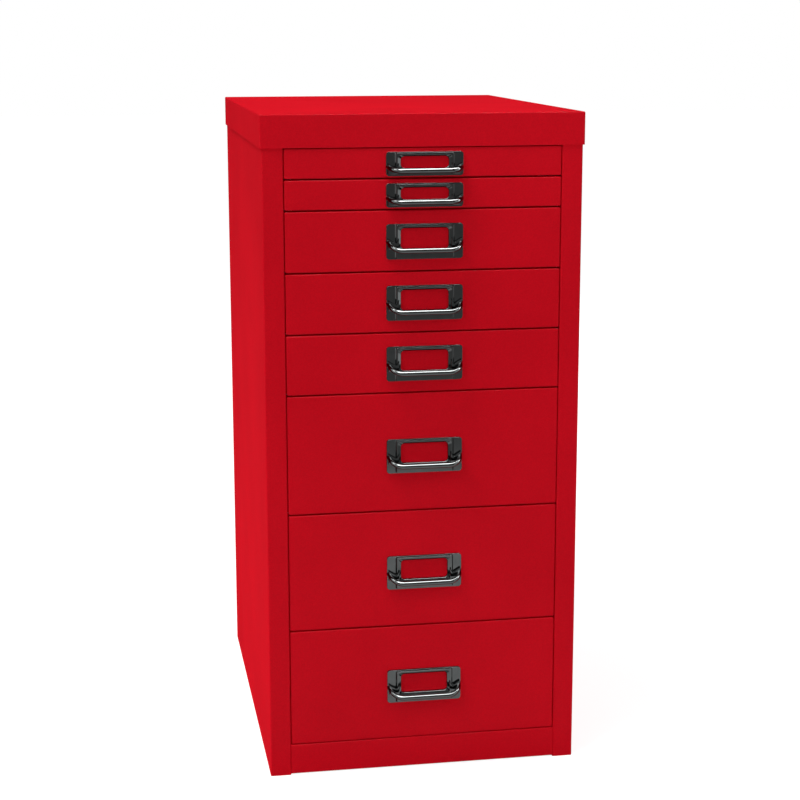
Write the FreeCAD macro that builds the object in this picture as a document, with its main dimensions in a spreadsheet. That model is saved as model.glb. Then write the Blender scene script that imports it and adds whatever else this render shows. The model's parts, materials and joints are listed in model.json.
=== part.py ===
import FreeCAD, Part
import os
from types import SimpleNamespace

import Sketcher

# A multi-drawer cabinet in folded sheet steel: a case under a top cap, and eight drawers that
# slide out towards -Y on channels at both sides. Millimetres, +Z up, and the front faces -Y.
# The origin is on the floor, under the middle of the footprint with the handles included.

SIZES = {
    # Case: side panels with folded stiles, back, base, bottom rail
    "case_width": 279,  # outside, over the side panels
    "case_depth": 380,  # from the stiles' face to the rear
    "case_sheet": 0.9,
    "bend_radius": 1.5,  # outside of a fold in the case's sheet
    "stile_width": 18.5,
    "stile_return": 12,  # how far a stile and the rail fold back
    "rear_flange": 12,
    "panel_flange": 14,  # the side panels' turned-in edges at the floor and under the cap
    "rail_top": 28.6,
    "rail_lift": 0.8,  # the rail clears the floor, the stiles stand on it
    "base_level": 16,  # top of the base panel
    # Top cap
    "cap_sheet": 1.0,
    "cap_overhang": 1.5,  # how far it stands out past each side panel
    "cap_skirt": 28.4,  # height of its front band
    "cap_corner": 1.6,
    "cap_edge": 1.2,
    # Stack of drawers
    "shallow_pitch": 26.65,
    "medium_pitch": 53.3,
    "deep_pitch": 106.6,
    "front_gap": 1.2,  # between one drawer front and the next
    "side_gap": 1.0,  # between a drawer front and a stile
    # Drawer fronts
    "front_sheet": 0.9,
    "front_depth": 12,
    "front_corner": 0.8,  # rounding of a front's four corners
    "front_edge": 0.9,  # rounding of its face's rim
    # Runners and the posts that carry them
    "runner_sheet": 1.0,
    "runner_width": 9,
    "channel_height": 6,  # inside
    "runner_setback": 16,  # from the stiles' face to the runner's front end
    "runner_rear_gap": 12,
    "rim_drop": 5.5,  # a tray's rim lies this far below the top of its front
    "running_gap": 0.3,
    "catch_setback": 2,  # from the glide to the stop that hangs in the runner
    "catch_gap": 0.5,  # between that stop and the tray's flange
    "post_sheet": 1.0,
    "post_width": 24,
    "post_foot": 10,
    "front_post_setback": 42,
    "rear_post_setback": 40,
    # Nylon glides and rubber buffers
    "glide_height": 1.0,
    "glide_length": 12,
    "glide_margin": 0.6,  # from the runner's lip to the glide
    "glide_front_gap": 2,  # from the runner's front end to the glide
    "glide_peg": 3.6,
    "peg_gap": 0.05,
    "buffer_length": 8,
    "buffer_width": 10,
    "buffer_tip": 7,
    "buffer_spread": 60,  # from the middle of the cabinet
    "buffer_rise": 10,  # above the drawer front's lower edge
    # Trays
    "tray_sheet": 0.8,
    "tray_bend": 2.0,
    "tray_gap": 2.2,  # between a tray's wall and the runner's lips
    "tray_lap": 6,  # how far a tray reaches into its folded front, where it is welded
    "flange_gap": 1.0,  # between the tray's flange and the runner's web
    "tab_margin": 1.5,  # from the runner's lip to the stop tab
    "tab_width": 4.5,
    "stop_setback": 40,  # from the tray's rear to its stop tabs
    "access_hole": 10,
    # Handles
    "grip_reach": 17.1,  # from a drawer's face to the front of its pull bar
    "handle_width": 67,
    "shallow_handle_height": 20.5,
    "deep_handle_height": 30.5,
    "shallow_handle_drop": 0.95,  # handle's middle below the front's middle
    "medium_handle_drop": 0.6,
    "deep_handle_drop": 3.2,
    "plate_thickness": 2.2,
    "plate_corner": 2.6,
    "plate_rim": 0.7,
    "label_width": 52,
    "label_rise": 1.6,
    "label_step": 0.7,  # the raised part ends this far inside the plate's edges
    "card_slot": 1.0,
    "card_margin": 1.2,
    "card_overlap": 2.5,  # how far a card's lower edge hides under the window
    "window_width": 42,
    "shallow_window_height": 10,
    "deep_window_height": 17.6,
    "shallow_window_corner": 4.0,
    "deep_window_corner": 2.8,
    "window_top_bar": 3.8,
    "grip_thickness": 4.4,
    "grip_bend": 8,
    "grip_margin": 2.2,  # from the plate's end to the middle of the arm
    "shallow_root_drop": 2.4,  # the arm's root below the handle's middle
    "deep_root_drop": 0.2,
    "shallow_grip_drop": 4.9,  # the pull bar below the handle's middle
    "deep_grip_drop": 6.5,
    "root_rise": 3.4,
    "root_width": 9.5,
    "root_height": 8.5,
    "root_margin": 1.2,
    # Handle screws
    "screw_spacing": 56,
    "screw_width": 3.5,
    "screw_head_width": 8,
    "screw_head_height": 2.2,
    "screw_reach": 4.2,  # into the handle, past the drawer's face
    "screw_gap": 0.06,
    "screw_hole_gap": 0.3,
}


class Size:
    """A length that holds both its number and the formula that ties it to the sheet."""

    def __init__(self, value, formula=None):
        self.value = float(value)
        self.formula = formula or f"{value}"

    def joined(self, sign, other, value):
        return Size(value, f"({self.formula} {sign} {other.formula})")

    def __add__(self, other):
        other = as_size(other)
        return self.joined("+", other, self.value + other.value)

    def __sub__(self, other):
        other = as_size(other)
        return self.joined("-", other, self.value - other.value)

    def __mul__(self, other):
        other = as_size(other)
        return self.joined("*", other, self.value * other.value)

    def __truediv__(self, other):
        other = as_size(other)
        return self.joined("/", other, self.value / other.value)

    def __neg__(self):
        return self * -1


def as_size(number):
    return number if isinstance(number, Size) else Size(number)


os.makedirs("parts", exist_ok=True)
doc = FreeCAD.newDocument("DrawerCabinet")
sheet = doc.addObject("Spreadsheet::Sheet", "Sizes")
for row, (alias, number) in enumerate(SIZES.items(), 1):
    sheet.set(f"A{row}", alias)
    sheet.set(f"B{row}", str(number))
    sheet.setAlias(f"B{row}", alias)
doc.recompute()
s = SimpleNamespace(**{alias: Size(number, f"Sizes.{alias}") for alias, number in SIZES.items()})

ZERO = Size(0)
LEFT, RIGHT = -1, 1
PLANE_SIDE = {"XY_Plane": 1, "XZ_Plane": -1, "YZ_Plane": 1}  # which way each plane's normal points
DRAWERS = ["shallow"] * 2 + ["medium"] * 3 + ["deep"] * 3  # from the top down

# Places in the cabinet, worked out from the sizes
front = (s.grip_reach - s.case_depth - s.cap_sheet) / 2
rear = front + s.case_depth
side = s.case_width / 2
side_inside = side - s.case_sheet
opening = side - s.stile_width
back_inside = rear - s.case_sheet * 2
stack_height = s.shallow_pitch * 2 + s.medium_pitch * 3 + s.deep_pitch * 3
cap_bottom = s.rail_top + stack_height
cap_inside = cap_bottom + s.cap_skirt - s.cap_sheet
lip = opening - s.runner_width
tray_half = lip - s.tray_gap
front_rear = front + s.front_depth
tray_front = front_rear - s.tray_lap
tray_rear = back_inside - s.buffer_length - s.running_gap
runner_front = front + s.runner_setback
flange_level = s.glide_height + s.running_gap  # of the tray's flange, over the channel's floor
glide_front = runner_front + s.glide_front_gap
catch_rear = glide_front + s.glide_length + s.catch_setback + s.runner_sheet
stop_front = tray_rear - s.stop_setback

pieces = []
cuts = []


def new_body(label, level=ZERO):
    body = doc.addObject("PartDesign::Body", label)
    body.Label = label
    body.setExpression("Placement.Base.z", level.formula)
    pieces.append(body)
    return body


def new_sketch(body, name, plane, level):
    """An empty sketch on one of the body's own planes, moved along the plane's axis to a level."""
    sketch = body.newObject("Sketcher::SketchObject", name)
    support = next(item for item in body.Origin.OriginFeatures if item.Role == plane)
    sketch.AttachmentSupport = [(support, "")]
    sketch.MapMode = "FlatFace"
    sketch.setExpression("AttachmentOffset.Base.z", (as_size(level) * PLANE_SIDE[plane]).formula)
    return sketch


def hold(sketch, kind, geometry, point, length):
    """Fix one coordinate of a sketch point to a formula."""
    length = as_size(length)
    rule = Sketcher.Constraint(kind, -1, 1, geometry, point, length.value)
    number = sketch.addConstraint(rule)
    sketch.setExpression(f"Constraints[{number}]", length.formula)


def draw_outline(sketch, points):
    """A closed outline of straight edges whose corners all follow their formulas."""
    first = sketch.GeometryCount
    spots = [FreeCAD.Vector(as_size(a).value, as_size(b).value, 0) for a, b in points]
    for start, end in zip(spots, spots[1:] + spots[:1]):
        sketch.addGeometry(Part.LineSegment(start, end))
    for number, (across, along) in enumerate(points):
        before = first + (number - 1) % len(points)
        sketch.addConstraint(Sketcher.Constraint("Coincident", before, 2, first + number, 1))
        hold(sketch, "DistanceX", first + number, 1, across)
        hold(sketch, "DistanceY", first + number, 1, along)


def draw_circle(sketch, across, along, radius):
    middle = FreeCAD.Vector(across.value, along.value, 0)
    number = sketch.addGeometry(Part.Circle(middle, FreeCAD.Vector(0, 0, 1), radius.value))
    hold(sketch, "DistanceX", number, 3, across)
    hold(sketch, "DistanceY", number, 3, along)
    rule = sketch.addConstraint(Sketcher.Constraint("Radius", number, radius.value))
    sketch.setExpression(f"Constraints[{rule}]", radius.formula)


def rectangle(left, right, low, high):
    return [(left, low), (right, low), (right, high), (left, high)]


def add(body, name, plane, level, outlines, length, towards=1):
    """Pad outlines from a level, along the plane's axis, towards plus or minus."""
    sketch = new_sketch(body, f"{name}Sketch", plane, level)
    for points in outlines:
        draw_outline(sketch, points)
    feature = body.newObject("PartDesign::Pad", name)
    feature.Profile = sketch
    feature.setExpression("Length", length.formula)
    feature.Reversed = towards != PLANE_SIDE[plane]


def cut(body, name, plane, level, shapes, length, towards=1):
    """Pocket outlines or circles, given as (across, along, radius), in the same way."""
    sketch = new_sketch(body, f"{name}Sketch", plane, level)
    for shape in shapes:
        if isinstance(shape, tuple):
            draw_circle(sketch, *shape)
        else:
            draw_outline(sketch, shape)
    feature = body.newObject("PartDesign::Pocket", name)
    feature.Profile = sketch
    feature.setExpression("Length", length.formula)
    feature.Reversed = towards == PLANE_SIDE[plane]
    cuts.append(feature)


def lies_at(edge, axes, spot):
    """Whether both ends of an edge have the given coordinates on the given axes."""
    return all(
        abs(vertex.Point["XYZ".index(axis)] - as_size(place).value) < 0.001
        for vertex in edge.Vertexes
        for axis, place in zip(axes, spot)
    )


def round_edges(body, name, radius, axes, spots):
    """Fillet the edges that lie at these spots: one axis names a plane, two name a line."""
    doc.recompute()
    base = body.Tip
    chosen = [
        f"Edge{number}"
        for number, edge in enumerate(base.Shape.Edges, 1)
        if any(lies_at(edge, axes, spot) for spot in spots)
    ]
    feature = body.newObject("PartDesign::Fillet", name)
    feature.Base = (base, chosen)
    feature.setExpression("Radius", radius.formula)


def hollow_out(body, name, wall, rim):
    """Leave a wall of even thickness, open at the flat top."""
    doc.recompute()
    base = body.Tip
    top = [
        f"Face{number}"
        for number, face in enumerate(base.Shape.Faces, 1)
        if abs(face.BoundBox.ZMin - rim.value) < 0.001
    ]
    feature = body.newObject("PartDesign::Thickness", name)
    feature.Base = (base, top)
    feature.setExpression("Value", wall.formula)
    feature.Reversed = True
    cuts.append(feature)


def top_cap():
    body = new_body("top_cap", cap_bottom)
    half = side + s.cap_overhang
    nose = front - s.cap_sheet
    tail = rear + s.cap_sheet
    add(body, "Block", "XY_Plane", 0, [rectangle(-half, half, nose, tail)], s.cap_skirt)
    round_edges(body, "Corners", s.cap_corner, "XY", rectangle(-half, half, nose, tail))
    round_edges(body, "TopEdges", s.cap_edge, "Z", [(s.cap_skirt,)])
    hollow = half - s.cap_sheet
    inside = rectangle(-hollow, hollow, front, rear)
    cut(body, "Inside", "XY_Plane", 0, [inside], s.cap_skirt - s.cap_sheet)


def side_panel(label, hand):
    """A side, its stile and its rear flange in one folded sheet, with turned-in ends."""
    body = new_body(label)
    stile_inside = opening + s.case_sheet
    hem_end = front + s.stile_return
    rear_inside = rear - s.case_sheet
    flange_end = side - s.rear_flange
    section = [
        (opening, front),
        (side, front),
        (side, rear),
        (flange_end, rear),
        (flange_end, rear_inside),
        (side_inside, rear_inside),
        (side_inside, front + s.case_sheet),
        (stile_inside, front + s.case_sheet),
        (stile_inside, hem_end),
        (opening, hem_end),
    ]
    section = [(across * hand, along) for across, along in section]
    add(body, "Sheet", "XY_Plane", 0, [section], cap_inside)
    outer = [section[0], section[1], section[2]]
    round_edges(body, "OuterBends", s.bend_radius, "XY", outer)
    inner = [section[5], section[6], section[7]]
    round_edges(body, "InnerBends", s.bend_radius - s.case_sheet, "XY", inner)
    turned = rectangle(
        (side - s.panel_flange) * hand,
        (side - s.case_sheet / 2) * hand,
        front + s.bend_radius,
        rear_inside - s.case_sheet,
    )
    add(body, "FloorFlange", "XY_Plane", 0, [turned], s.case_sheet)
    add(body, "TopFlange", "XY_Plane", cap_inside, [turned], s.case_sheet, towards=-1)


def back_panel():
    """A flat sheet against the side panels' rear flanges, as wide as their bends allow."""
    body = new_body("back_panel", s.case_sheet)
    height = cap_inside - s.case_sheet * 2
    half = side - s.bend_radius
    sheet_outline = rectangle(-half, half, back_inside, back_inside + s.case_sheet)
    add(body, "Sheet", "XY_Plane", 0, [sheet_outline], height)


def base_panel():
    """A shallow pan, open downwards, that stands on the side panels' floor flanges."""
    body = new_body("base_panel", s.case_sheet)
    near = front + s.stile_return
    height = s.base_level - s.case_sheet
    outside = rectangle(-side_inside, side_inside, near, back_inside)
    add(body, "Block", "XY_Plane", 0, [outside], height)
    across = side_inside - s.case_sheet
    inside = rectangle(-across, across, near + s.case_sheet, back_inside - s.case_sheet)
    cut(body, "Inside", "XY_Plane", 0, [inside], height - s.case_sheet)


def bottom_rail():
    body = new_body("bottom_rail")
    near = front + s.case_sheet
    far = front + s.stile_return
    top = s.rail_top
    low = s.rail_lift
    section = [
        (front, low),
        (far, low),
        (far, low + s.case_sheet),
        (near, low + s.case_sheet),
        (near, top - s.case_sheet),
        (far, top - s.case_sheet),
        (far, top),
        (front, top),
    ]
    add(body, "Sheet", "YZ_Plane", -opening, [section], opening * 2)
    round_edges(body, "OuterBends", s.bend_radius, "YZ", [section[0], section[7]])
    inner_radius = s.bend_radius - s.case_sheet
    round_edges(body, "InnerBends", inner_radius, "YZ", [section[3], section[4]])


def runner_post(label, hand, middle):
    """A hat section whose crown carries the runners and whose feet lie on the side panel."""
    body = new_body(label, s.base_level)
    crown = opening + s.post_sheet
    near = middle - s.post_width / 2
    far = middle + s.post_width / 2
    foot = side_inside - s.post_sheet
    section = [
        (opening, near),
        (opening, far),
        (foot, far),
        (foot, far + s.post_foot),
        (side_inside, far + s.post_foot),
        (side_inside, far - s.post_sheet),
        (crown, far - s.post_sheet),
        (crown, near + s.post_sheet),
        (side_inside, near + s.post_sheet),
        (side_inside, near - s.post_foot),
        (foot, near - s.post_foot),
        (foot, near),
    ]
    section = [(across * hand, along) for across, along in section]
    height = cap_inside - s.case_sheet - s.base_level
    add(body, "Sheet", "XY_Plane", 0, [section], height)
    crown_edges = [section[0], section[1]]
    round_edges(body, "CrownBends", s.post_sheet, "XY", crown_edges)


def glide_spot(hand):
    """Inner and outer edge of the glide on one runner, and how far back its peg is."""
    inner = (lip + s.glide_margin) * hand
    outer = (opening - s.runner_sheet - s.glide_margin) * hand
    return inner, outer, glide_front + s.glide_length / 2


def runner(label, hand, floor):
    """A channel, open towards the drawer, with a stop hanging in its front end."""
    body = new_body(label, floor)
    web = opening - s.runner_sheet
    ceiling = s.channel_height
    section = [
        (lip, -s.runner_sheet),
        (opening, -s.runner_sheet),
        (opening, ceiling + s.runner_sheet),
        (lip, ceiling + s.runner_sheet),
        (lip, ceiling),
        (web, ceiling),
        (web, ZERO),
        (lip, ZERO),
    ]
    section = [(across * hand, along) for across, along in section]
    length = rear - s.runner_rear_gap - runner_front
    add(body, "Channel", "XZ_Plane", runner_front, [section], length)
    round_edges(body, "Bends", s.runner_sheet, "XZ", [section[1], section[2]])
    near = catch_rear - s.runner_sheet
    catch = rectangle(lip * hand, (web + s.runner_sheet / 2) * hand, near, catch_rear)
    drop = ceiling - flange_level - s.tray_sheet - s.catch_gap
    add(body, "Catch", "XY_Plane", ceiling, [catch], drop, towards=-1)
    inner, outer, peg_middle = glide_spot(hand)
    hole = ((inner + outer) / 2, peg_middle, s.glide_peg / 2 + s.peg_gap)
    cut(body, "PegHole", "XY_Plane", 0, [hole], s.runner_sheet, towards=-1)


def drawer_front(label, level, height):
    body = new_body(label, level)
    half = opening - s.side_gap
    add(body, "Block", "XZ_Plane", front, [rectangle(-half, half, 0, height)], s.front_depth)
    round_edges(body, "Corners", s.front_corner, "XZ", rectangle(-half, half, 0, height))
    round_edges(body, "FaceEdges", s.front_edge, "Y", [(front,)])
    across = half - s.front_sheet
    inside = rectangle(-across, across, s.front_sheet, height - s.front_sheet)
    depth = s.front_depth - s.front_sheet
    cut(body, "Inside", "XZ_Plane", front_rear, [inside], depth, towards=-1)
    return body


def screw_holes(body, name, start, height, radius, depth, towards):
    """A pair of round holes, one for each handle screw."""
    holes = [(s.screw_spacing / 2 * hand, height, radius) for hand in (LEFT, RIGHT)]
    cut(body, name, "XZ_Plane", start, holes, depth, towards)


def drawer_tray(label, level, height, screw_height):
    """An open tray, on the front's lower fold, with flanges and stop tabs in the runners."""
    body = new_body(label, level)
    rim = height - s.rim_drop
    outside = rectangle(-tray_half, tray_half, tray_front, tray_rear)
    low = s.front_sheet
    add(body, "Block", "XY_Plane", low, [outside], rim - low)
    round_edges(body, "Corners", s.tray_bend, "XY", outside)
    round_edges(body, "BottomEdges", s.tray_bend, "Z", [(low,)])
    hollow_out(body, "Shell", s.tray_sheet, rim)
    hole_radius = s.access_hole / 2
    screw_holes(body, "AccessHoles", tray_front, screw_height, hole_radius, s.tray_sheet, 1)

    edge = opening - s.runner_sheet - s.flange_gap
    root = tray_half - s.tray_sheet / 2
    tab_inner = lip + s.tab_margin
    tab_outer = tab_inner + s.tab_width
    near = tray_front + s.tray_bend
    far = tray_rear - s.tray_bend
    flanges, tabs = [], []
    for hand in (LEFT, RIGHT):
        flanges.append(rectangle(root * hand, edge * hand, near, far))
        tab_rear = stop_front + s.tray_sheet
        tabs.append(rectangle(tab_inner * hand, tab_outer * hand, stop_front, tab_rear))
    add(body, "Flanges", "XY_Plane", rim, flanges, s.tray_sheet, towards=-1)
    tab_low = rim - s.tray_sheet - s.glide_height
    tab_height = s.channel_height - s.running_gap * 2
    add(body, "StopTabs", "XY_Plane", tab_low, tabs, tab_height)


def handle(label, level, middle, kind):
    """A cast label frame with its window, and a pull bar on two arms in front of it."""
    body = new_body(label, level)
    half = s.handle_width / 2
    tall = kind.handle_height / 2
    face = front - s.plate_thickness
    label_face = face - s.label_rise
    plate = rectangle(-half, half, middle - tall, middle + tall)
    add(body, "Plate", "XZ_Plane", front, [plate], s.plate_thickness, towards=-1)
    round_edges(body, "PlateCorners", s.plate_corner, "XZ", plate)
    round_edges(body, "PlateRim", s.plate_rim, "Y", [(face,)])

    label_half = s.label_width / 2
    inset = tall - s.label_step
    raised = rectangle(-label_half, label_half, middle - inset, middle + inset)
    add(body, "LabelFrame", "XZ_Plane", front - s.card_slot, [raised],
        s.plate_thickness + s.label_rise - s.card_slot, towards=-1)
    round_edges(body, "LabelRim", s.plate_rim, "Y", [(label_face,)])

    roots = []
    root_top = middle - kind.root_drop + s.grip_thickness / 2
    for hand in (LEFT, RIGHT):
        outer = (half - s.root_margin) * hand
        inner = (half - s.root_margin - s.root_width) * hand
        roots.append(rectangle(inner, outer, root_top - s.root_height, root_top))
    root_start = front - s.card_slot
    root_length = s.plate_thickness + s.root_rise - s.card_slot
    add(body, "ArmRoots", "XZ_Plane", root_start, roots, root_length, towards=-1)
    root_face = front - s.plate_thickness - s.root_rise
    round_edges(body, "RootRims", s.plate_rim, "Y", [(root_face,)])

    window_half = s.window_width / 2
    window_top = middle + tall - s.window_top_bar
    window_low = window_top - kind.window_height
    window = rectangle(-window_half, window_half, window_low, window_top)
    frame_depth = s.plate_thickness + s.label_rise
    cut(body, "Window", "XZ_Plane", front, [window], frame_depth, towards=-1)
    round_edges(body, "WindowCorners", kind.window_corner, "XZ", window)

    card_half = label_half - s.card_margin
    slot = rectangle(-card_half, card_half, window_low - s.card_overlap, middle + tall * 2)
    cut(body, "CardSlot", "XZ_Plane", front, [slot], s.card_slot, towards=-1)
    pull_bar(body, middle, kind)
    bore = s.screw_width / 2 + s.screw_gap
    bore_depth = s.screw_reach + s.running_gap
    screw_holes(body, "ScrewBores", front, kind.screw_height, bore, bore_depth, -1)


def pull_bar(body, middle, kind):
    """A round bar swept along a U whose plane tilts down from the arms' roots."""
    radius = s.grip_thickness / 2
    start = s.plate_thickness / 2
    reach = s.grip_reach - radius - start
    drop = kind.grip_drop - kind.root_drop
    tilt = f"atan2({drop.formula}; {reach.formula})"
    length = Size(
        (reach.value**2 + drop.value**2) ** 0.5,
        f"sqrt({reach.formula}^2 + {drop.formula}^2)",
    )
    arm = s.handle_width / 2 - s.grip_margin
    root_height = middle - kind.root_drop

    path = new_sketch(body, "GripPath", "XY_Plane", root_height)
    path.AttachmentOffset = FreeCAD.Placement(
        FreeCAD.Vector(), FreeCAD.Rotation(FreeCAD.Vector(1, 0, 0), 1)
    )
    path.setExpression("AttachmentOffset.Base.z", root_height.formula)
    path.setExpression("AttachmentOffset.Base.y", (front - start).formula)
    path.setExpression("AttachmentOffset.Rotation.Angle", tilt)
    bend = s.grip_bend
    arc_start = -(length - bend)
    bar_half = arm - bend
    path.addGeometry(line((-arm).value, 0, (-arm).value, arc_start.value))
    path.addGeometry(quarter((-bar_half).value, arc_start.value, bend.value, 180))
    path.addGeometry(line((-bar_half).value, (-length).value, bar_half.value, (-length).value))
    path.addGeometry(quarter(bar_half.value, arc_start.value, bend.value, 270))
    path.addGeometry(line(arm.value, arc_start.value, arm.value, 0))
    for number, end, start_point in ((0, 2, 1), (1, 2, 1), (2, 2, 1), (3, 2, 1)):
        path.addConstraint(Sketcher.Constraint("Coincident", number, end, number + 1, start_point))
    ends = (
        (0, 1, -arm, ZERO),
        (1, 1, -arm, arc_start),
        (2, 1, -bar_half, -length),
        (3, 1, bar_half, -length),
        (4, 1, arm, arc_start),
        (4, 2, arm, ZERO),
    )
    for number, point, across, along in ends:
        hold(path, "DistanceX", number, point, across)
        hold(path, "DistanceY", number, point, along)
    hold(path, "DistanceX", 1, 3, -bar_half)
    hold(path, "DistanceX", 3, 3, bar_half)

    ring = new_sketch(body, "GripRing", "XZ_Plane", ZERO)
    ring.AttachmentOffset = path.AttachmentOffset
    ring.setExpression("AttachmentOffset.Base.x", (-arm).formula)
    ring.setExpression("AttachmentOffset.Base.y", root_height.formula)
    ring.setExpression("AttachmentOffset.Base.z", (start - front).formula)
    ring.setExpression("AttachmentOffset.Rotation.Angle", tilt)
    draw_circle(ring, ZERO, ZERO, radius)
    pipe = body.newObject("PartDesign::AdditivePipe", "PullBar")
    pipe.Profile = ring
    pipe.Spine = (path, [])


def line(x0, y0, x1, y1):
    return Part.LineSegment(FreeCAD.Vector(x0, y0, 0), FreeCAD.Vector(x1, y1, 0))


def quarter(x, y, radius, start_degrees):
    """A quarter of a circle about a middle, from one angle to the next right angle."""
    circle = Part.Circle(FreeCAD.Vector(x, y, 0), FreeCAD.Vector(0, 0, 1), radius)
    first = FreeCAD.Units.Quantity(start_degrees, FreeCAD.Units.Angle).getValueAs("rad").Value
    last = FreeCAD.Units.Quantity(start_degrees + 90, FreeCAD.Units.Angle).getValueAs("rad").Value
    return Part.ArcOfCircle(circle, first, last)


def primitive(kind, name, sizes, x, y, z, turn=0):
    """A Part primitive whose sizes and place follow their formulas, turned about X."""
    item = doc.addObject(kind, name)
    for word, length in sizes.items():
        item.setExpression(word, length.formula)
    turned = FreeCAD.Rotation(FreeCAD.Vector(1, 0, 0), turn)
    item.Placement = FreeCAD.Placement(FreeCAD.Vector(), turned)
    for letter, place in zip("xyz", (x, y, z)):
        item.setExpression(f"Placement.Base.{letter}", place.formula)
    return item


def group(label, items):
    """Alike small solids in one named piece."""
    compound = doc.addObject("Part::Compound", label)
    compound.Label = label
    compound.Links = items
    pieces.append(compound)


def fuse(name, base, tool):
    joined = doc.addObject("Part::Fuse", name)
    joined.Base = base
    joined.Tool = tool
    return joined


def glide(name, hand, floor):
    inner, outer, peg_middle = glide_spot(hand)
    left = inner if hand == RIGHT else outer
    width = (outer - inner) * hand
    block_sizes = {"Length": width, "Width": s.glide_length, "Height": s.glide_height}
    block = primitive("Part::Box", f"{name}_block", block_sizes, left, glide_front, floor)
    peg_height = s.runner_sheet + s.glide_height / 2
    peg_sizes = {"Radius": s.glide_peg / 2, "Height": peg_height}
    peg_low = floor - s.runner_sheet
    middle = (inner + outer) / 2
    peg = primitive("Part::Cylinder", f"{name}_peg", peg_sizes, middle, peg_middle, peg_low)
    return fuse(name, block, peg)


def closing_buffer(name, hand, level):
    sizes = {
        "Radius1": s.buffer_width / 2,
        "Radius2": s.buffer_tip / 2,
        "Height": s.buffer_length,
    }
    across = s.buffer_spread * hand
    return primitive("Part::Cone", name, sizes, across, back_inside, level, turn=90)


def handle_screw(name, hand, height):
    across = s.screw_spacing / 2 * hand
    seat = front + s.front_sheet
    head_sizes = {"Radius": s.screw_head_width / 2, "Height": s.screw_head_height}
    head = primitive("Part::Cylinder", f"{name}_head", head_sizes, across, seat, height, turn=-90)
    shank_length = s.front_sheet + s.screw_reach + s.screw_head_height / 2
    shank_sizes = {"Radius": s.screw_width / 2, "Height": shank_length}
    tip = front - s.screw_reach
    shank = primitive("Part::Cylinder", f"{name}_shank", shank_sizes, across, tip, height, turn=-90)
    return fuse(name, head, shank)


def handle_kind(kind, height):
    """The sizes that go with a drawer's height, and the places that follow from them."""
    look = "shallow" if kind == "shallow" else "deep"
    middle = height / 2 - getattr(s, f"{kind}_handle_drop")
    root_drop = getattr(s, f"{look}_root_drop")
    screw_height = middle - root_drop + s.grip_thickness / 2 - s.root_height / 2
    return SimpleNamespace(
        middle=middle,
        root_drop=root_drop,
        screw_height=screw_height,
        grip_drop=getattr(s, f"{look}_grip_drop"),
        handle_height=getattr(s, f"{look}_handle_height"),
        window_height=getattr(s, f"{look}_window_height"),
        window_corner=getattr(s, f"{look}_window_corner"),
    )


def build_case():
    top_cap()
    side_panel("left_side", LEFT)
    side_panel("right_side", RIGHT)
    back_panel()
    base_panel()
    bottom_rail()
    for hand, word in ((LEFT, "left"), (RIGHT, "right")):
        runner_post(f"runner_post_front_{word}", hand, front + s.front_post_setback)
        runner_post(f"runner_post_rear_{word}", hand, rear - s.rear_post_setback)


def build_drawers():
    """Each drawer with its runners, from the top of the opening down."""
    glides, buffers = [], []
    top = cap_bottom
    for number, kind in enumerate(DRAWERS, 1):
        pitch = getattr(s, f"{kind}_pitch")
        level = top - pitch + s.front_gap / 2
        height = pitch - s.front_gap
        sizes = handle_kind(kind, height)
        screw_height = sizes.screw_height

        panel = drawer_front(f"drawer_front_{number}", level, height)
        hole = s.screw_width / 2 + s.screw_hole_gap
        screw_holes(panel, "ScrewHoles", front, screw_height, hole, s.front_sheet, 1)
        drawer_tray(f"drawer_tray_{number}", level, height, screw_height)
        handle(f"handle_{number}", level, sizes.middle, sizes)

        floor = level + height - s.rim_drop - s.tray_sheet - flange_level
        screws = []
        for hand, word in ((LEFT, "left"), (RIGHT, "right")):
            runner(f"runner_{word}_{number}", hand, floor)
            glides.append(glide(f"glide_{word}_{number}", hand, floor))
            rise = level + s.buffer_rise
            buffers.append(closing_buffer(f"buffer_{word}_{number}", hand, rise))
            screw_level = level + screw_height
            screws.append(handle_screw(f"screw_{word}_{number}", hand, screw_level))
        group(f"handle_screws_{number}", screws)
        top = top - pitch
    group("runner_glides", glides)
    group("closing_buffers", buffers)


build_case()
build_drawers()
doc.recompute()

failed = [item.Name for item in doc.Objects if "Invalid" in item.State or "Error" in item.State]
if failed:
    raise RuntimeError(f"failed to recompute: {failed}")
for feature in cuts:
    before = feature.BaseFeature.Shape.Volume
    if feature.Shape.Volume > before - 0.01:
        raise RuntimeError(f"{feature.getParentGeoFeatureGroup().Label} {feature.Name} cuts nothing")
for piece in pieces:
    if piece.Shape.isNull() or not piece.Shape.isValid() or not piece.Shape.Solids:
        raise RuntimeError(f"{piece.Label} has no sound shape")
for piece in pieces:
    piece.Shape.exportStep(f"parts/{piece.Label}.step")

travel = stop_front.value - catch_rear.value - SIZES["running_gap"]
print(f"{len(pieces)} pieces, drawer travel {travel:.2f} mm, height {(cap_bottom + s.cap_skirt).value} mm")
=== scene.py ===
"""Looks of an eight-drawer sheet steel cabinet in red powder coat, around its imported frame."""
import json
import math

import bmesh
import bpy
from mathutils import Matrix, Vector


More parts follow.
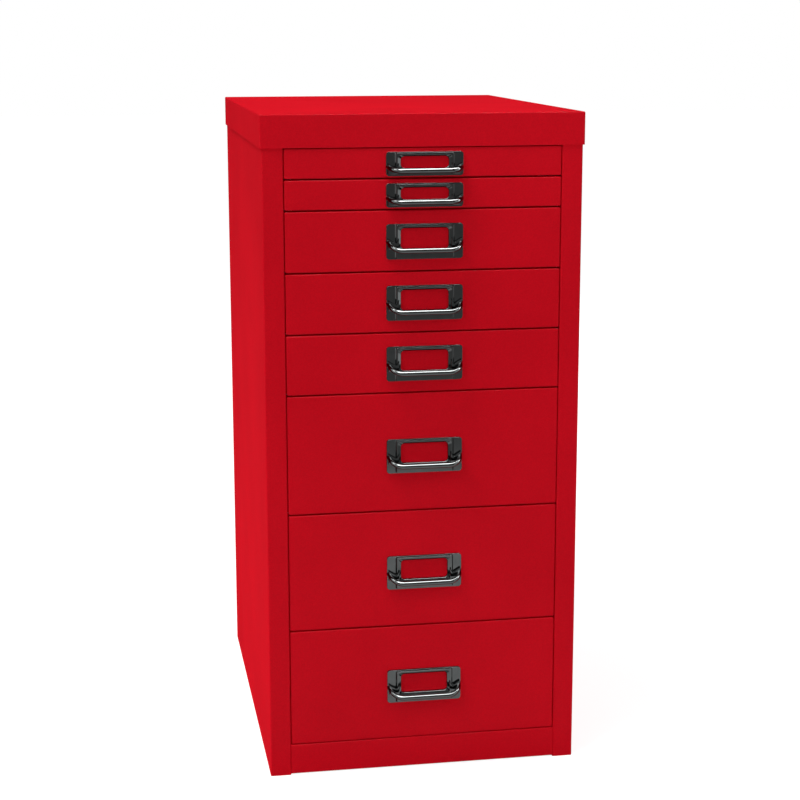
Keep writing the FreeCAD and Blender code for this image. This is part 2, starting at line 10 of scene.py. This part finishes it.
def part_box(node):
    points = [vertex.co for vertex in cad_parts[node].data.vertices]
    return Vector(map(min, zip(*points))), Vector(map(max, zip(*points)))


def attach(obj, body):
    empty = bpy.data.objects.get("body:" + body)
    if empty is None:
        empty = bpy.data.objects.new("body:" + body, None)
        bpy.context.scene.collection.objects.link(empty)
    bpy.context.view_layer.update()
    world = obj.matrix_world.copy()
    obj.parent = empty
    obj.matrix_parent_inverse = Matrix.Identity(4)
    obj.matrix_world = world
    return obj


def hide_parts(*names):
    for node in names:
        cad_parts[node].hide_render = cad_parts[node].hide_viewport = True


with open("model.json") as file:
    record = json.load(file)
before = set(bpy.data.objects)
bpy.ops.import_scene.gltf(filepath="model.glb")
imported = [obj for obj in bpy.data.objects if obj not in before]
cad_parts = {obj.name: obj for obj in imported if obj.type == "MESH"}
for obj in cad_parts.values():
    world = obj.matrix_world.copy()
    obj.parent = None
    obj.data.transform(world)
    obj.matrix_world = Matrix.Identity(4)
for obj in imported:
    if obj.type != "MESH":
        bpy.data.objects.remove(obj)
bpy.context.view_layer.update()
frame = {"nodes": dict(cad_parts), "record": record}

MM = 0.001
DRAWERS = range(1, 9)
SHALLOW = (1, 2)
HANDS = (-1, 1)
UP = Vector((0, 0, 1))
QUARTER_TURN = math.radians(90)

# The photograph's own view: an 800 pixel frame, and the lens and stand found from its corners.
# Its upright lines stay nearly parallel, so the lens's axis lies a little above the middle.
FRAME_PIXELS = 800
FOCAL_PIXELS = 1765.0
AXIS_PIXEL = (400, 380)
SENSOR = 36
FARTHEST_SEEN = 50
CAMERA_PLACE = Vector((-276.9, -1668.15, 662.0)) * MM
CAMERA_LOOK = Vector((0.1661, 0.9663, -0.1965))
CAMERA_UP = Vector((0.0343, 0.1935, 0.9805))

# Colours, linear
PAINT_RED = (0.70, 0.0055, 0.0155, 1)
ZINC_GREY = (0.52, 0.53, 0.55, 1)
STEEL_GREY = (0.45, 0.45, 0.47, 1)
# Handle chrome: a dark finish, and also painted reflection. The colour is pushed far below the
# metal's own, so that mirrors of the white backdrop render as dark as reflections of dim
# surroundings.
DARK_CHROME_AND_PAINTED_REFLECTION = (0.024, 0.0255, 0.0255, 1)
NYLON_WHITE = (0.78, 0.77, 0.71, 1)
RUBBER_BLACK = (0.018, 0.018, 0.019, 1)
FLOOR_GREY = (0.5, 0.5, 0.5, 1)
WHITE = (1, 1, 1, 1)

# Powder coat: scales of its noises, and the height of its relief in metres
CLOUD_SCALE = 9.0
CLOUD_SHADE = 0.93
PEEL_SCALE = 850.0
GRAIN_SCALE = 3600.0
GRAIN_SHARE = 0.25
PEEL_HEIGHT = 0.00014
SPECKLE_LOW = 0.94
SPECKLE_HIGH = 1.05
GLOSS_SCALE = 34.0
PAINT_PEEL = 0.5
COAT_WEIGHT = 0.009
COAT_ROUGHNESS = 0.25

# Metal: the same
LINE_SCALE = 900.0
LINE_HEIGHT = 0.00005
SMUDGE_SCALE = 120.0

# The colour sockets of a mix node, which share their names with others
MIX_FIRST = 6
MIX_SECOND = 7
MIX_RESULT = 2

# Handle, in millimetres: out from the drawer's face, across and up from the handle's middle
PLATE_HALF = 33.5
PLATE_DEPTH = 2.2
PLATE_CORNER = 2.6
LABEL_HALF = 26.0
LABEL_DEPTH = 3.8
LABEL_INSET = 0.7
LABEL_SLOPE = 1.2
LABEL_CORNER = 1.2
LABEL_TOP_INSET = 0.15
LABEL_TOP_CORNER = 0.9
RIDGE_WIDTH = 2.0
RIDGE_ABOVE = 1.4
WINDOW_HALF = 21.0
WINDOW_DEPTH = 2.5
WINDOW_TOP_BAR = 3.8
CRISP_EDGE = 0.14
SOFT_EDGE = 0.3
BAR_RADIUS = 2.2
BAR_OUT = 14.9
BAR_BEND = 10.0
ARM_ACROSS = 31.6
ARM_TAPER = 0.075
ROOT_DEPTH = 5.6
ROOT_SUNK = 0.6
ROOT_HALF = 4.75
ROOT_MIDDLE = 27.55
ROOT_TALL = 9.5
ROOT_PEAK = 3.2
ROOT_CHAMFER = 1.0
NOTCH_ACROSS = 25.6
NOTCH_DEPTH = 4.0

# Sheet pieces, in millimetres
SKIN_EXTRA = 0.45
SKIN_CORNER = 1.3
SKIN_EDGE = 1.1
SKIN_SHEET = 0.9
TRAY_SHEET = 0.8
MARK_SUNK = 0.2
WELD_RADIUS = 2.8
WELD_HEIGHT = 0.4
WELD_SLOPE = 0.5
WELD_RIM = 0.9
WELD_DIP = 0.32
WELD_ACROSS = 132.5
WELD_LEVELS = range(40, 521, 60)
BEAD_WIDTH = 9.0
BEAD_CORNER = 4.41
BEAD_ACROSS = 48
BEAD_SHORTER = 90
BEAD_SLOPE = 1.4
BEAD_STEPS = (0.56, 0.14)

# Meshes
SHARP_FOLD = math.radians(35)
NEARLY_FLAT = 0.1
SAME_PLACE = 0.00001
ON_THE_CUT = 0.0001
ROUND_SIDES = 20
CORNER_STEPS = 6
BEND_STEPS = 8

# Stage, in metres
FLOOR_HALF = 12
FLOOR_GLOW = 0.78
FLOOR_ROUGHNESS = 0.9
BACKDROP_LIGHT = 0.45
CASE_UPPER = (0, 0, 0.35)
CASE_MIDDLE = (0, 0, 0.3)
HANDLES = (0, -0.2, 0.3)


def handle_sizes(number):
    """Half height, window height and corner, and how far arms and bar lie below the middle."""
    if number in SHALLOW:
        return {"half": 10.25, "window": 10.0, "corner": 3.4, "arm_drop": 2.4, "bar_drop": 4.9}
    return {"half": 15.25, "window": 17.6, "corner": 2.8, "arm_drop": 0.2, "bar_drop": 6.5}


# Nodes

def connect(tree, socket, source):
    """Link a socket to an output, or set it to a plain value."""
    if isinstance(source, bpy.types.NodeSocket):
        tree.links.new(source, socket)
    else:
        socket.default_value = source


def add_node(tree, kind, links=(), **settings):
    """A node with settings, and links given as (input, output socket or value)."""
    node = tree.nodes.new(kind)
    for word, value in settings.items():
        setattr(node, word, value)
    for socket, source in links:
        connect(tree, node.inputs[socket], source)
    return node


def noise(tree, place, scale, detail=2.0):
    links = [("Vector", place), ("Scale", scale), ("Detail", detail)]
    return add_node(tree, "ShaderNodeTexNoise", links).outputs["Fac"]


def remap(tree, value, low, high, out_low, out_high):
    links = [
        ("Value", value),
        ("From Min", low),
        ("From Max", high),
        ("To Min", out_low),
        ("To Max", out_high),
    ]
    return add_node(tree, "ShaderNodeMapRange", links).outputs["Result"]


def shade_between(tree, factor, first, second):
    links = [("Factor", factor), (MIX_FIRST, first), (MIX_SECOND, second)]
    return add_node(tree, "ShaderNodeMix", links, data_type="RGBA").outputs[MIX_RESULT]


def shade(tree, color, value):
    links = [("Value", value), ("Color", color)]
    return add_node(tree, "ShaderNodeHueSaturation", links).outputs["Color"]


def bump(tree, strength, distance, height):
    links = [("Strength", strength), ("Distance", distance), ("Height", height)]
    return add_node(tree, "ShaderNodeBump", links).outputs["Normal"]


def reckon(tree, operation, *sources):
    links = enumerate(sources)
    return add_node(tree, "ShaderNodeMath", links, operation=operation).outputs["Value"]


# Surfaces

def new_group(name, inputs):
    """A group for a surface, its inputs, and the place on the object that its noises use."""
    group = bpy.data.node_groups.new(name, "ShaderNodeTree")
    for label, kind, value in inputs:
        socket = group.interface.new_socket(label, in_out="INPUT", socket_type=kind)
        socket.default_value = value
    group.interface.new_socket("Color", in_out="OUTPUT", socket_type="NodeSocketColor")
    group.interface.new_socket("Roughness", in_out="OUTPUT", socket_type="NodeSocketFloat")
    group.interface.new_socket("Normal", in_out="OUTPUT", socket_type="NodeSocketVector")
    start = group.nodes.new("NodeGroupInput")
    place = add_node(group, "ShaderNodeTexCoord").outputs["Object"]
    return group, start.outputs, place


def finish_group(group, color, roughness, normal):
    links = [("Color", color), ("Roughness", roughness), ("Normal", normal)]
    add_node(group, "NodeGroupOutput", links)
    return group


def powder_coat_group():
    """Orange peel, faint clouds in the colour and an uneven gloss."""
    group, start, place = new_group("powder_coat", [
        ("Color", "NodeSocketColor", PAINT_RED),
        ("Gloss Low", "NodeSocketFloat", 0.36),
        ("Gloss High", "NodeSocketFloat", 0.46),
        ("Peel", "NodeSocketFloat", 0.25),
    ])
    clouds = remap(group, noise(group, place, CLOUD_SCALE, detail=3.0), 0.35, 0.65, 0.0, 1.0)
    dull = shade(group, start["Color"], CLOUD_SHADE)
    clouded = shade_between(group, clouds, dull, start["Color"])
    peel = noise(group, place, PEEL_SCALE)
    grain = noise(group, place, GRAIN_SCALE, detail=1.0)
    speckle = remap(group, peel, 0.3, 0.7, SPECKLE_LOW, SPECKLE_HIGH)
    color = shade(group, clouded, speckle)
    height = reckon(group, "MULTIPLY_ADD", grain, GRAIN_SHARE, peel)
    normal = bump(group, start["Peel"], PEEL_HEIGHT, height)
    patches = noise(group, place, GLOSS_SCALE, detail=4.0)
    gloss = remap(group, patches, 0.3, 0.7, start["Gloss Low"], start["Gloss High"])
    return finish_group(group, color, gloss, normal)


def metal_group():
    """Faint lines drawn along one axis, and smudges."""
    group, start, place = new_group("worked_metal", [
        ("Color", "NodeSocketColor", ZINC_GREY),
        ("Dull Color", "NodeSocketColor", ZINC_GREY),
        ("Stretch", "NodeSocketVector", (1.0, 1.0, 1.0)),
        ("Smooth", "NodeSocketFloat", 0.2),
        ("Rough", "NodeSocketFloat", 0.4),
        ("Relief", "NodeSocketFloat", 0.1),
    ])
    stretched = add_node(
        group, "ShaderNodeVectorMath", [(0, place), (1, start["Stretch"])], operation="MULTIPLY"
    ).outputs["Vector"]
    lines = noise(group, stretched, LINE_SCALE)
    smudge = noise(group, place, SMUDGE_SCALE, detail=3.0)
    smudge_mask = remap(group, smudge, 0.35, 0.7, 0.0, 1.0)
    color = shade_between(group, smudge_mask, start["Color"], start["Dull Color"])
    rough = remap(group, smudge, 0.3, 0.7, start["Smooth"], start["Rough"])
    normal = bump(group, start["Relief"], LINE_HEIGHT, lines)
    return finish_group(group, color, rough, normal)


POWDER_COAT = powder_coat_group()
WORKED_METAL = metal_group()


def new_material(name, group, values, **shader_values):
    """A Principled material fed by one group; values that never change sit on the shader."""
    material = bpy.data.materials.new(name)
    material.use_nodes = True
    tree = material.node_tree
    shader = tree.nodes["Principled BSDF"]
    effect = add_node(tree, "ShaderNodeGroup", node_tree=group)
    for label, value in values.items():
        effect.inputs[label].default_value = value
    tree.links.new(effect.outputs["Color"], shader.inputs["Base Color"])
    tree.links.new(effect.outputs["Roughness"], shader.inputs["Roughness"])
    tree.links.new(effect.outputs["Normal"], shader.inputs["Normal"])
    for label, value in shader_values.items():
        shader.inputs[label.replace("_", " ")].default_value = value
    material.diffuse_color = values["Color"]
    return material


def paint_material(name):
    return new_material(
        name, POWDER_COAT, {"Color": PAINT_RED, "Peel": PAINT_PEEL},
        Specular_IOR_Level=0.0, Coat_Weight=COAT_WEIGHT, Coat_Roughness=COAT_ROUGHNESS,
    )


def plastic_material(name, color, gloss_low, gloss_high, peel, **shader_values):
    values = {"Color": color, "Gloss Low": gloss_low, "Gloss High": gloss_high, "Peel": peel}
    return new_material(name, POWDER_COAT, values, **shader_values)


def metal_material(name, color, dull_share, smooth, rough, relief, stretch=(1, 1, 1)):
    values = {
        "Color": color,
        "Dull Color": tuple(channel * dull_share for channel in color[:3]) + (1,),
        "Stretch": stretch,
        "Smooth": smooth,
        "Rough": rough,
        "Relief": relief,
    }
    return new_material(name, WORKED_METAL, values, Metallic=1.0)


MATERIALS = {
    "case_paint": paint_material("case_paint"),
    "drawer_paint": paint_material("drawer_paint"),
    "runner_zinc": metal_material(
        "runner_zinc", ZINC_GREY, 0.8, smooth=0.28, rough=0.42, relief=0.12, stretch=(1, 0.06, 1)
    ),
    "screw_steel": metal_material(
        "screw_steel", STEEL_GREY, 0.8, smooth=0.25, rough=0.4, relief=0.05
    ),
    # The handles' near-black colour is partly painted reflection: it stands in for dim
    # surroundings mirrored in the chrome.
    "handle_chrome": metal_material(
        "handle_chrome", DARK_CHROME_AND_PAINTED_REFLECTION, 0.85, smooth=0.08, rough=0.15, relief=0.015
    ),
    "glide_nylon": plastic_material(
        "glide_nylon", NYLON_WHITE, gloss_low=0.45, gloss_high=0.55, peel=0.1,
        Subsurface_Weight=0.15,
    ),
    "buffer_rubber": plastic_material(
        "buffer_rubber", RUBBER_BLACK, gloss_low=0.65, gloss_high=0.8, peel=0.4
    ),
}


def dress_frame():
    """Give every CAD node the material of its own slot in the record."""
    for part in frame["record"]["subparts"]:
        node = frame["nodes"][part["node"]]
        node.data.materials.clear()
        node.data.materials.append(MATERIALS[part["material_slot"]])


# Mesh helpers, all in millimetres

def unique(items):
    """A list without repeats that keeps its order."""
    return list(dict.fromkeys(items))


def corners_of(edges):
    return unique(vert for edge in edges for vert in edge.verts)


def edges_at(verts):
    return unique(edge for vert in verts for edge in vert.link_edges)


def faces_at(verts):
    return unique(face for vert in verts for face in vert.link_faces)


def bevel(bm, geom, offset, segments, affect="EDGES", clamp=True):
    return bmesh.ops.bevel(
        bm, geom=geom, offset=offset, offset_type="OFFSET", segments=segments,
        profile=0.5, affect=affect, material=-1, clamp_overlap=clamp,
    )


def finish_mesh(bm, name, slot, body, replaced=(), middle=(0, 0, 0)):
    """Turn a bmesh into a piece in metres: outward faces, smooth shading and sharp folds."""
    bmesh.ops.scale(bm, verts=bm.verts, vec=(MM, MM, MM))
    bmesh.ops.translate(bm, verts=bm.verts, vec=middle)
    bmesh.ops.remove_doubles(bm, verts=bm.verts, dist=SAME_PLACE)
    bmesh.ops.recalc_face_normals(bm, faces=bm.faces)
    for face in bm.faces:
        face.smooth = True
    for edge in bm.edges:
        if len(edge.link_faces) == 2:
            edge.smooth = edge.calc_face_angle(0) < SHARP_FOLD
    mesh = bpy.data.meshes.new(name)
    bm.to_mesh(mesh)
    bm.free()
    piece = bpy.data.objects.new(name, mesh)
    bpy.context.scene.collection.objects.link(piece)
    mesh.materials.append(MATERIALS[slot])
    weighted = piece.modifiers.new("even_shading", "WEIGHTED_NORMAL")
    weighted.keep_sharp = True
    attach(piece, body)
    if replaced:
        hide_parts(*replaced)


def rounded_face(bm, width, height, place, turn, corner, segments):
    """A flat rectangle with round corners."""
    made = bmesh.ops.create_grid(bm, x_segments=1, y_segments=1, size=0.5)["verts"]
    bmesh.ops.scale(bm, verts=made, vec=(width, height, 1))
    bmesh.ops.transform(bm, matrix=Matrix.Translation(place) @ turn, verts=made)
    rounded = bevel(bm, made, corner, segments, affect="VERTICES", clamp=False)
    return rounded["verts"][0].link_faces[0]


def rounded_loop(bm, left, right, low, high, corner):
    """A loop of edges in the drawer's plane: a rectangle with round corners."""
    upright = Matrix.Rotation(QUARTER_TURN, 4, "X")
    place = Vector(((left + right) / 2, 0, (low + high) / 2))
    face = rounded_face(bm, right - left, high - low, place, upright, corner, CORNER_STEPS)
    edges = list(face.edges)
    bmesh.ops.delete(bm, geom=[face], context="FACES_ONLY")
    return edges


def join_loops(bm, loops, depths, closed):
    """Join loops one after the other, each at its own depth, into a ring or a capped shell.

    The loops are joined while they stand apart, because flat ones could pair up the wrong way.
    """
    for place, loop in enumerate(loops):
        bmesh.ops.translate(bm, verts=corners_of(loop), vec=(0, -place, 0))
    for first, second in zip(loops, loops[1:]):
        bmesh.ops.bridge_loops(bm, edges=first + second)
    if closed:
        bmesh.ops.bridge_loops(bm, edges=loops[-1] + loops[0])
    else:
        bmesh.ops.edgeloop_fill(bm, edges=loops[0])
        bmesh.ops.edgeloop_fill(bm, edges=loops[-1])
    for place, (loop, depth) in enumerate(zip(loops, depths)):
        bmesh.ops.translate(bm, verts=corners_of(loop), vec=(0, place - depth, 0))


def sweep(bm, edges, vec):
    """Draw a ring of edges straight on, and return its new end."""
    moved = bmesh.ops.extrude_edge_only(bm, edges=edges)["geom"]
    verts = [item for item in moved if isinstance(item, bmesh.types.BMVert)]
    bmesh.ops.translate(bm, verts=verts, vec=vec)
    return [item for item in moved if isinstance(item, bmesh.types.BMEdge)]


def bend(bm, edges, middle):
    """Draw a ring of edges through a quarter turn about an upright axis."""
    made = bmesh.ops.spin(
        bm, geom=corners_of(edges) + edges, cent=middle, axis=UP, dvec=(0, 0, 0),
        angle=QUARTER_TURN, steps=BEND_STEPS, use_merge=False, use_duplicate=False,
    )["geom_last"]
    return [item for item in made if isinstance(item, bmesh.types.BMEdge)]


def stand_on(bm, outline, up):
    """Make a flat outline, sunk in the sheet, into a closed block, and return the block's top."""
    moved = bmesh.ops.extrude_face_region(bm, geom=[outline], use_keep_orig=True)["geom"]
    top = next(item for item in moved if isinstance(item, bmesh.types.BMFace))
    bmesh.ops.translate(bm, verts=top.verts, vec=up * MARK_SUNK)
    top.normal_update()
    if top.normal.dot(up) < 0:
        top.normal_flip()
    return top


def raise_face(bm, face, thickness, depth):
    bmesh.ops.inset_individual(
        bm, faces=[face], thickness=thickness, depth=depth, use_even_offset=True
    )


# Handles

def label_plate(sizes):
    """Plate, raised label frame and window of a handle as one closed ring."""
    half = sizes["half"]
    corner = sizes["corner"]
    plate = (-PLATE_HALF, PLATE_HALF, -half, half, PLATE_CORNER)
    label_foot = half - LABEL_INSET
    label_side = LABEL_HALF - LABEL_SLOPE
    label_top = label_foot - LABEL_TOP_INSET
    ridge = LABEL_HALF - RIDGE_WIDTH
    window_top = half - WINDOW_TOP_BAR
    window_low = window_top - sizes["window"]
    window = (-WINDOW_HALF, WINDOW_HALF, window_low, window_top, corner)
    bm = bmesh.new()
    loops = [
        rounded_loop(bm, *plate),
        rounded_loop(bm, *plate),
        rounded_loop(bm, -LABEL_HALF, LABEL_HALF, -label_foot, label_foot, LABEL_CORNER),
        rounded_loop(bm, -label_side, label_side, -label_top, label_top, LABEL_TOP_CORNER),
        rounded_loop(
            bm, -ridge, ridge, window_low - RIDGE_WIDTH, window_top + RIDGE_ABOVE, corner
        ),
        rounded_loop(bm, *window),
        rounded_loop(bm, *window),
    ]
    crisp = loops[1] + loops[3]
    soft = loops[4] + loops[5]
    depths = (0, PLATE_DEPTH, PLATE_DEPTH, LABEL_DEPTH, LABEL_DEPTH, WINDOW_DEPTH, 0)
    join_loops(bm, loops, depths, closed=True)
    bmesh.ops.recalc_face_normals(bm, faces=bm.faces)
    bevel(bm, crisp, CRISP_EDGE, 3)
    bevel(bm, soft, SOFT_EDGE, 3)
    return bm


def arm_roots(bm, sizes):
    """Two blocks whose tops dip in a V, where the bar's arms leave the plate."""
    depth = ROOT_DEPTH - ROOT_SUNK
    level = ROOT_PEAK - sizes["arm_drop"] - ROOT_TALL / 2
    for hand in HANDS:
        block = bmesh.ops.create_cube(bm, size=1)["verts"]
        place = Vector((ROOT_MIDDLE * hand, -ROOT_SUNK - depth / 2, level))
        bmesh.ops.scale(bm, verts=block, vec=(ROOT_HALF * 2, depth, ROOT_TALL))
        bmesh.ops.translate(bm, verts=block, vec=place)
        cut = bmesh.ops.bisect_plane(
            bm, geom=block + edges_at(block) + faces_at(block), dist=ON_THE_CUT,
            plane_co=(NOTCH_ACROSS * hand, 0, 0), plane_no=(1, 0, 0),
        )["geom_cut"]
        middle = [item for item in cut if isinstance(item, bmesh.types.BMVert)]
        upper = [vert for vert in middle if vert.co.z > place.z]
        bmesh.ops.translate(bm, verts=upper, vec=(0, 0, -NOTCH_DEPTH))
        front_edges = [
            edge for edge in edges_at(block + middle)
            if all(end.co.y < place.y for end in edge.verts)
            and edge.calc_face_angle(0) > NEARLY_FLAT
        ]
        bevel(bm, front_edges, ROOT_CHAMFER, 2)


def pull_bar(bm, sizes):
    """A round bar on a U path, drawn out from the plate and tilted down to the bar's level."""
    before = set(bm.verts)
    start = PLATE_DEPTH / 2
    reach = BAR_OUT - start
    drop = sizes["bar_drop"] - sizes["arm_drop"]
    length = math.hypot(reach, drop)
    straight = length - BAR_BEND
    turned = Matrix.Rotation(QUARTER_TURN, 4, "X")
    ring = bmesh.ops.create_circle(
        bm, cap_ends=True, segments=ROUND_SIDES, radius=BAR_RADIUS, matrix=turned
    )["verts"]
    edges = sweep(bm, edges_at(ring), (0, -straight, 0))
    edges = bend(bm, edges, (BAR_BEND, -straight, 0))
    edges = sweep(bm, edges, (2 * (ARM_ACROSS - BAR_BEND), 0, 0))
    edges = bend(bm, edges, (2 * ARM_ACROSS - BAR_BEND, -straight, 0))
    edges = sweep(bm, edges, (0, straight, 0))
    bmesh.ops.edgeloop_fill(bm, edges=edges)
    made = [vert for vert in bm.verts if vert not in before]
    bmesh.ops.translate(bm, verts=made, vec=(-ARM_ACROSS, 0, 0))
    for vert in made:
        vert.co.x *= 1 + ARM_TAPER * vert.co.y / length
    tilt = Matrix.Rotation(math.atan2(drop, reach), 4, "X")
    place = Matrix.Translation((0, -start, -sizes["arm_drop"]))
    bmesh.ops.transform(bm, matrix=place @ tilt, verts=made)


def handle(number):
    """One casting: label frame, arm roots and pull bar."""
    sizes = handle_sizes(number)
    low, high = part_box(f"handle_{number}")
    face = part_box(f"drawer_front_{number}")[0].y
    middle = Vector(((low.x + high.x) / 2, face, (low.z + high.z) / 2))
    bm = label_plate(sizes)
    arm_roots(bm, sizes)
    pull_bar(bm, sizes)
    finish_mesh(bm, f"cast_handle_{number}", "handle_chrome", f"drawer_{number}",
                [f"handle_{number}"], middle)


# Sheet pieces

def front_skin(number):
    """A drawer's folded front with soft edges, a little wider than its solid."""
    low, high = (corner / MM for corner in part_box(f"drawer_front_{number}"))
    half = (high.x - low.x) / 2 + SKIN_EXTRA
    depth = high.y - low.y
    outer = (-half, half, low.z, high.z, SKIN_CORNER)
    inner = (
        -half + SKIN_SHEET, half - SKIN_SHEET, low.z + SKIN_SHEET, high.z - SKIN_SHEET,
        SKIN_CORNER - SKIN_SHEET,
    )
    bm = bmesh.new()
    loops = [rounded_loop(bm, *sides) for sides in (outer, outer, inner, inner)]
    join_loops(bm, loops, (0, -depth, -depth, -SKIN_SHEET), closed=False)
    bevel(bm, loops[0], SKIN_EDGE, 4)
    bmesh.ops.translate(bm, verts=bm.verts, vec=(0, low.y, 0))
    finish_mesh(bm, f"front_skin_{number}", "drawer_paint", f"drawer_{number}",
                [f"drawer_front_{number}"])


def floor_beads(number):
    """Two long beads pressed up in a tray's floor, to stiffen it."""
    low, high = (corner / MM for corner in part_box(f"drawer_tray_{number}"))
    level = low.z + TRAY_SHEET - MARK_SUNK
    bm = bmesh.new()
    for hand in HANDS:
        place = Vector((BEAD_ACROSS * hand, (low.y + high.y) / 2, level))
        outline = rounded_face(
            bm, BEAD_WIDTH, high.y - low.y - BEAD_SHORTER, place, Matrix(), BEAD_CORNER, BEND_STEPS
        )
        top = stand_on(bm, outline, UP)
        for step in BEAD_STEPS:
            raise_face(bm, top, BEAD_SLOPE, step)
    finish_mesh(bm, f"floor_beads_{number}", "drawer_paint", f"drawer_{number}")


def back_welds():
    """Two rows of round spot welds, each a low ring around a dimple, on the rear flanges."""
    rear = (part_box("left_side")[1] / MM).y
    turn = Matrix.Rotation(-QUARTER_TURN, 4, "X")
    outward = turn.to_3x3() @ UP
    bm = bmesh.new()
    for hand in HANDS:
        for level in WELD_LEVELS:
            place = Vector((WELD_ACROSS * hand, rear, level)) - outward * MARK_SUNK
            ring = bmesh.ops.create_circle(
                bm, cap_ends=True, segments=ROUND_SIDES, radius=WELD_RADIUS,
                matrix=Matrix.Translation(place) @ turn,
            )["verts"]
            top = stand_on(bm, ring[0].link_faces[0], outward)
            raise_face(bm, top, WELD_SLOPE, WELD_HEIGHT)
            raise_face(bm, top, WELD_RIM, -WELD_DIP)
    finish_mesh(bm, "back_welds", "case_paint", "carcass")


# Stage

def camera():
    data = bpy.data.cameras.new("photo_view")
    data.sensor_width = SENSOR
    data.lens = FOCAL_PIXELS / FRAME_PIXELS * SENSOR
    data.shift_x = 0.5 - AXIS_PIXEL[0] / FRAME_PIXELS
    data.shift_y = AXIS_PIXEL[1] / FRAME_PIXELS - 0.5
    data.clip_end = FARTHEST_SEEN
    view = bpy.data.objects.new("photo_view", data)
    back = -CAMERA_LOOK.normalized()
    right = CAMERA_UP.cross(back).normalized()
    up = back.cross(right)
    turn = Matrix((right, up, back)).transposed().to_4x4()
    view.matrix_world = Matrix.Translation(CAMERA_PLACE) @ turn
    bpy.context.scene.collection.objects.link(view)
    bpy.context.scene.camera = view


def seen_directly(tree):
    """1 for rays that show the background: camera, mirror and glass rays."""
    path = add_node(tree, "ShaderNodeLightPath").outputs
    mirror = reckon(tree, "MAXIMUM", path["Is Glossy Ray"], path["Is Transmission Ray"])
    return reckon(tree, "MAXIMUM", path["Is Camera Ray"], mirror)


def studio_floor():
    """A pale floor that looks white where it is seen directly, and keeps the object's shadow."""
    bm = bmesh.new()
    bmesh.ops.create_grid(bm, x_segments=1, y_segments=1, size=FLOOR_HALF)
    mesh = bpy.data.meshes.new("studio_floor")
    bm.to_mesh(mesh)
    bm.free()
    floor = bpy.data.objects.new("studio_floor", mesh)
    bpy.context.scene.collection.objects.link(floor)
    material = bpy.data.materials.new("studio_floor")
    material.use_nodes = True
    tree = material.node_tree
    shader = tree.nodes["Principled BSDF"]
    shader.inputs["Base Color"].default_value = FLOOR_GREY
    shader.inputs["Roughness"].default_value = FLOOR_ROUGHNESS
    shader.inputs["Specular IOR Level"].default_value = 0.0
    shader.inputs["Emission Color"].default_value = WHITE
    glow = reckon(tree, "MULTIPLY", seen_directly(tree), FLOOR_GLOW)
    tree.links.new(glow, shader.inputs["Emission Strength"])
    mesh.materials.append(material)


def backdrop():
    """White where it is seen directly, and a weaker light for everything else."""
    world = bpy.data.worlds.new("studio")
    bpy.context.scene.world = world
    world.use_nodes = True
    tree = world.node_tree
    background = tree.nodes["Background"]
    background.inputs["Color"].default_value = WHITE
    level = remap(tree, seen_directly(tree), 0.0, 1.0, BACKDROP_LIGHT, 1.0)
    tree.links.new(level, background.inputs["Strength"])


def softbox(name, place, aim, size, watts, diffuse=True, glossy=True):
    """A lamp with a flat face; it can be left out of matt light or of reflections."""
    data = bpy.data.lights.new(name, "AREA")
    data.shape = "RECTANGLE"
    data.size, data.size_y = size
    data.energy = watts
    lamp = bpy.data.objects.new(name, data)
    lamp.visible_camera = False
    lamp.visible_diffuse = diffuse
    lamp.visible_glossy = glossy
    away = Vector(place) - Vector(aim)
    turn = away.to_track_quat("Z", "Y").to_matrix().to_4x4()
    lamp.matrix_world = Matrix.Translation(place) @ turn
    bpy.context.scene.collection.objects.link(lamp)


def lamps():
    """Plain light from above left, below left, the front and behind, and cards for the chrome."""
    softbox("key_above_left", (-0.98, -0.62, 2.55), CASE_UPPER, (1.0, 1.0), 34.5)
    softbox("low_left", (-0.69, 0, 0.06), (-0.14, 0, 0.06), (0.4, 0.08), 1.15)
    softbox("front_fill", (0.5, -2.6, 0.6), (0, -0.18, 0.3), (1.2, 0.8), 8, glossy=False)
    softbox("rear_right", (1.5, 2.0, 0.95), CASE_MIDDLE, (0.8, 0.8), 17)
    cards = [
        ("card_over_handles", (0.26, -0.52, 1.9), HANDLES, (4.0, 0.8), 860),
        ("card_on_floor", (0.03, -0.745, 0.004), (0.03, -0.745, 1.0), (1.04, 1.04), 10),
        ("side_panel", (-1.3, -0.35, 0.5), (0, -0.2, 0.35), (1.7, 1.3), 36),
        ("side_panel", (1.3, -0.35, 0.5), (0, -0.2, 0.35), (1.7, 1.3), 36),
        ("glint_card", (-1.14, -0.58, 1.2), HANDLES, (0.36, 0.36), 22),
        ("glint_card", (1.26, -0.2, 0.92), HANDLES, (0.36, 0.36), 22),
    ]
    for name, place, aim, size, watts in cards:
        softbox(name, place, aim, size, watts, diffuse=False)


dress_frame()
for number in DRAWERS:
    handle(number)
    front_skin(number)
    floor_beads(number)
back_welds()
camera()
studio_floor()
backdrop()
lamps()
bpy.context.scene.view_settings.view_transform = "Standard"
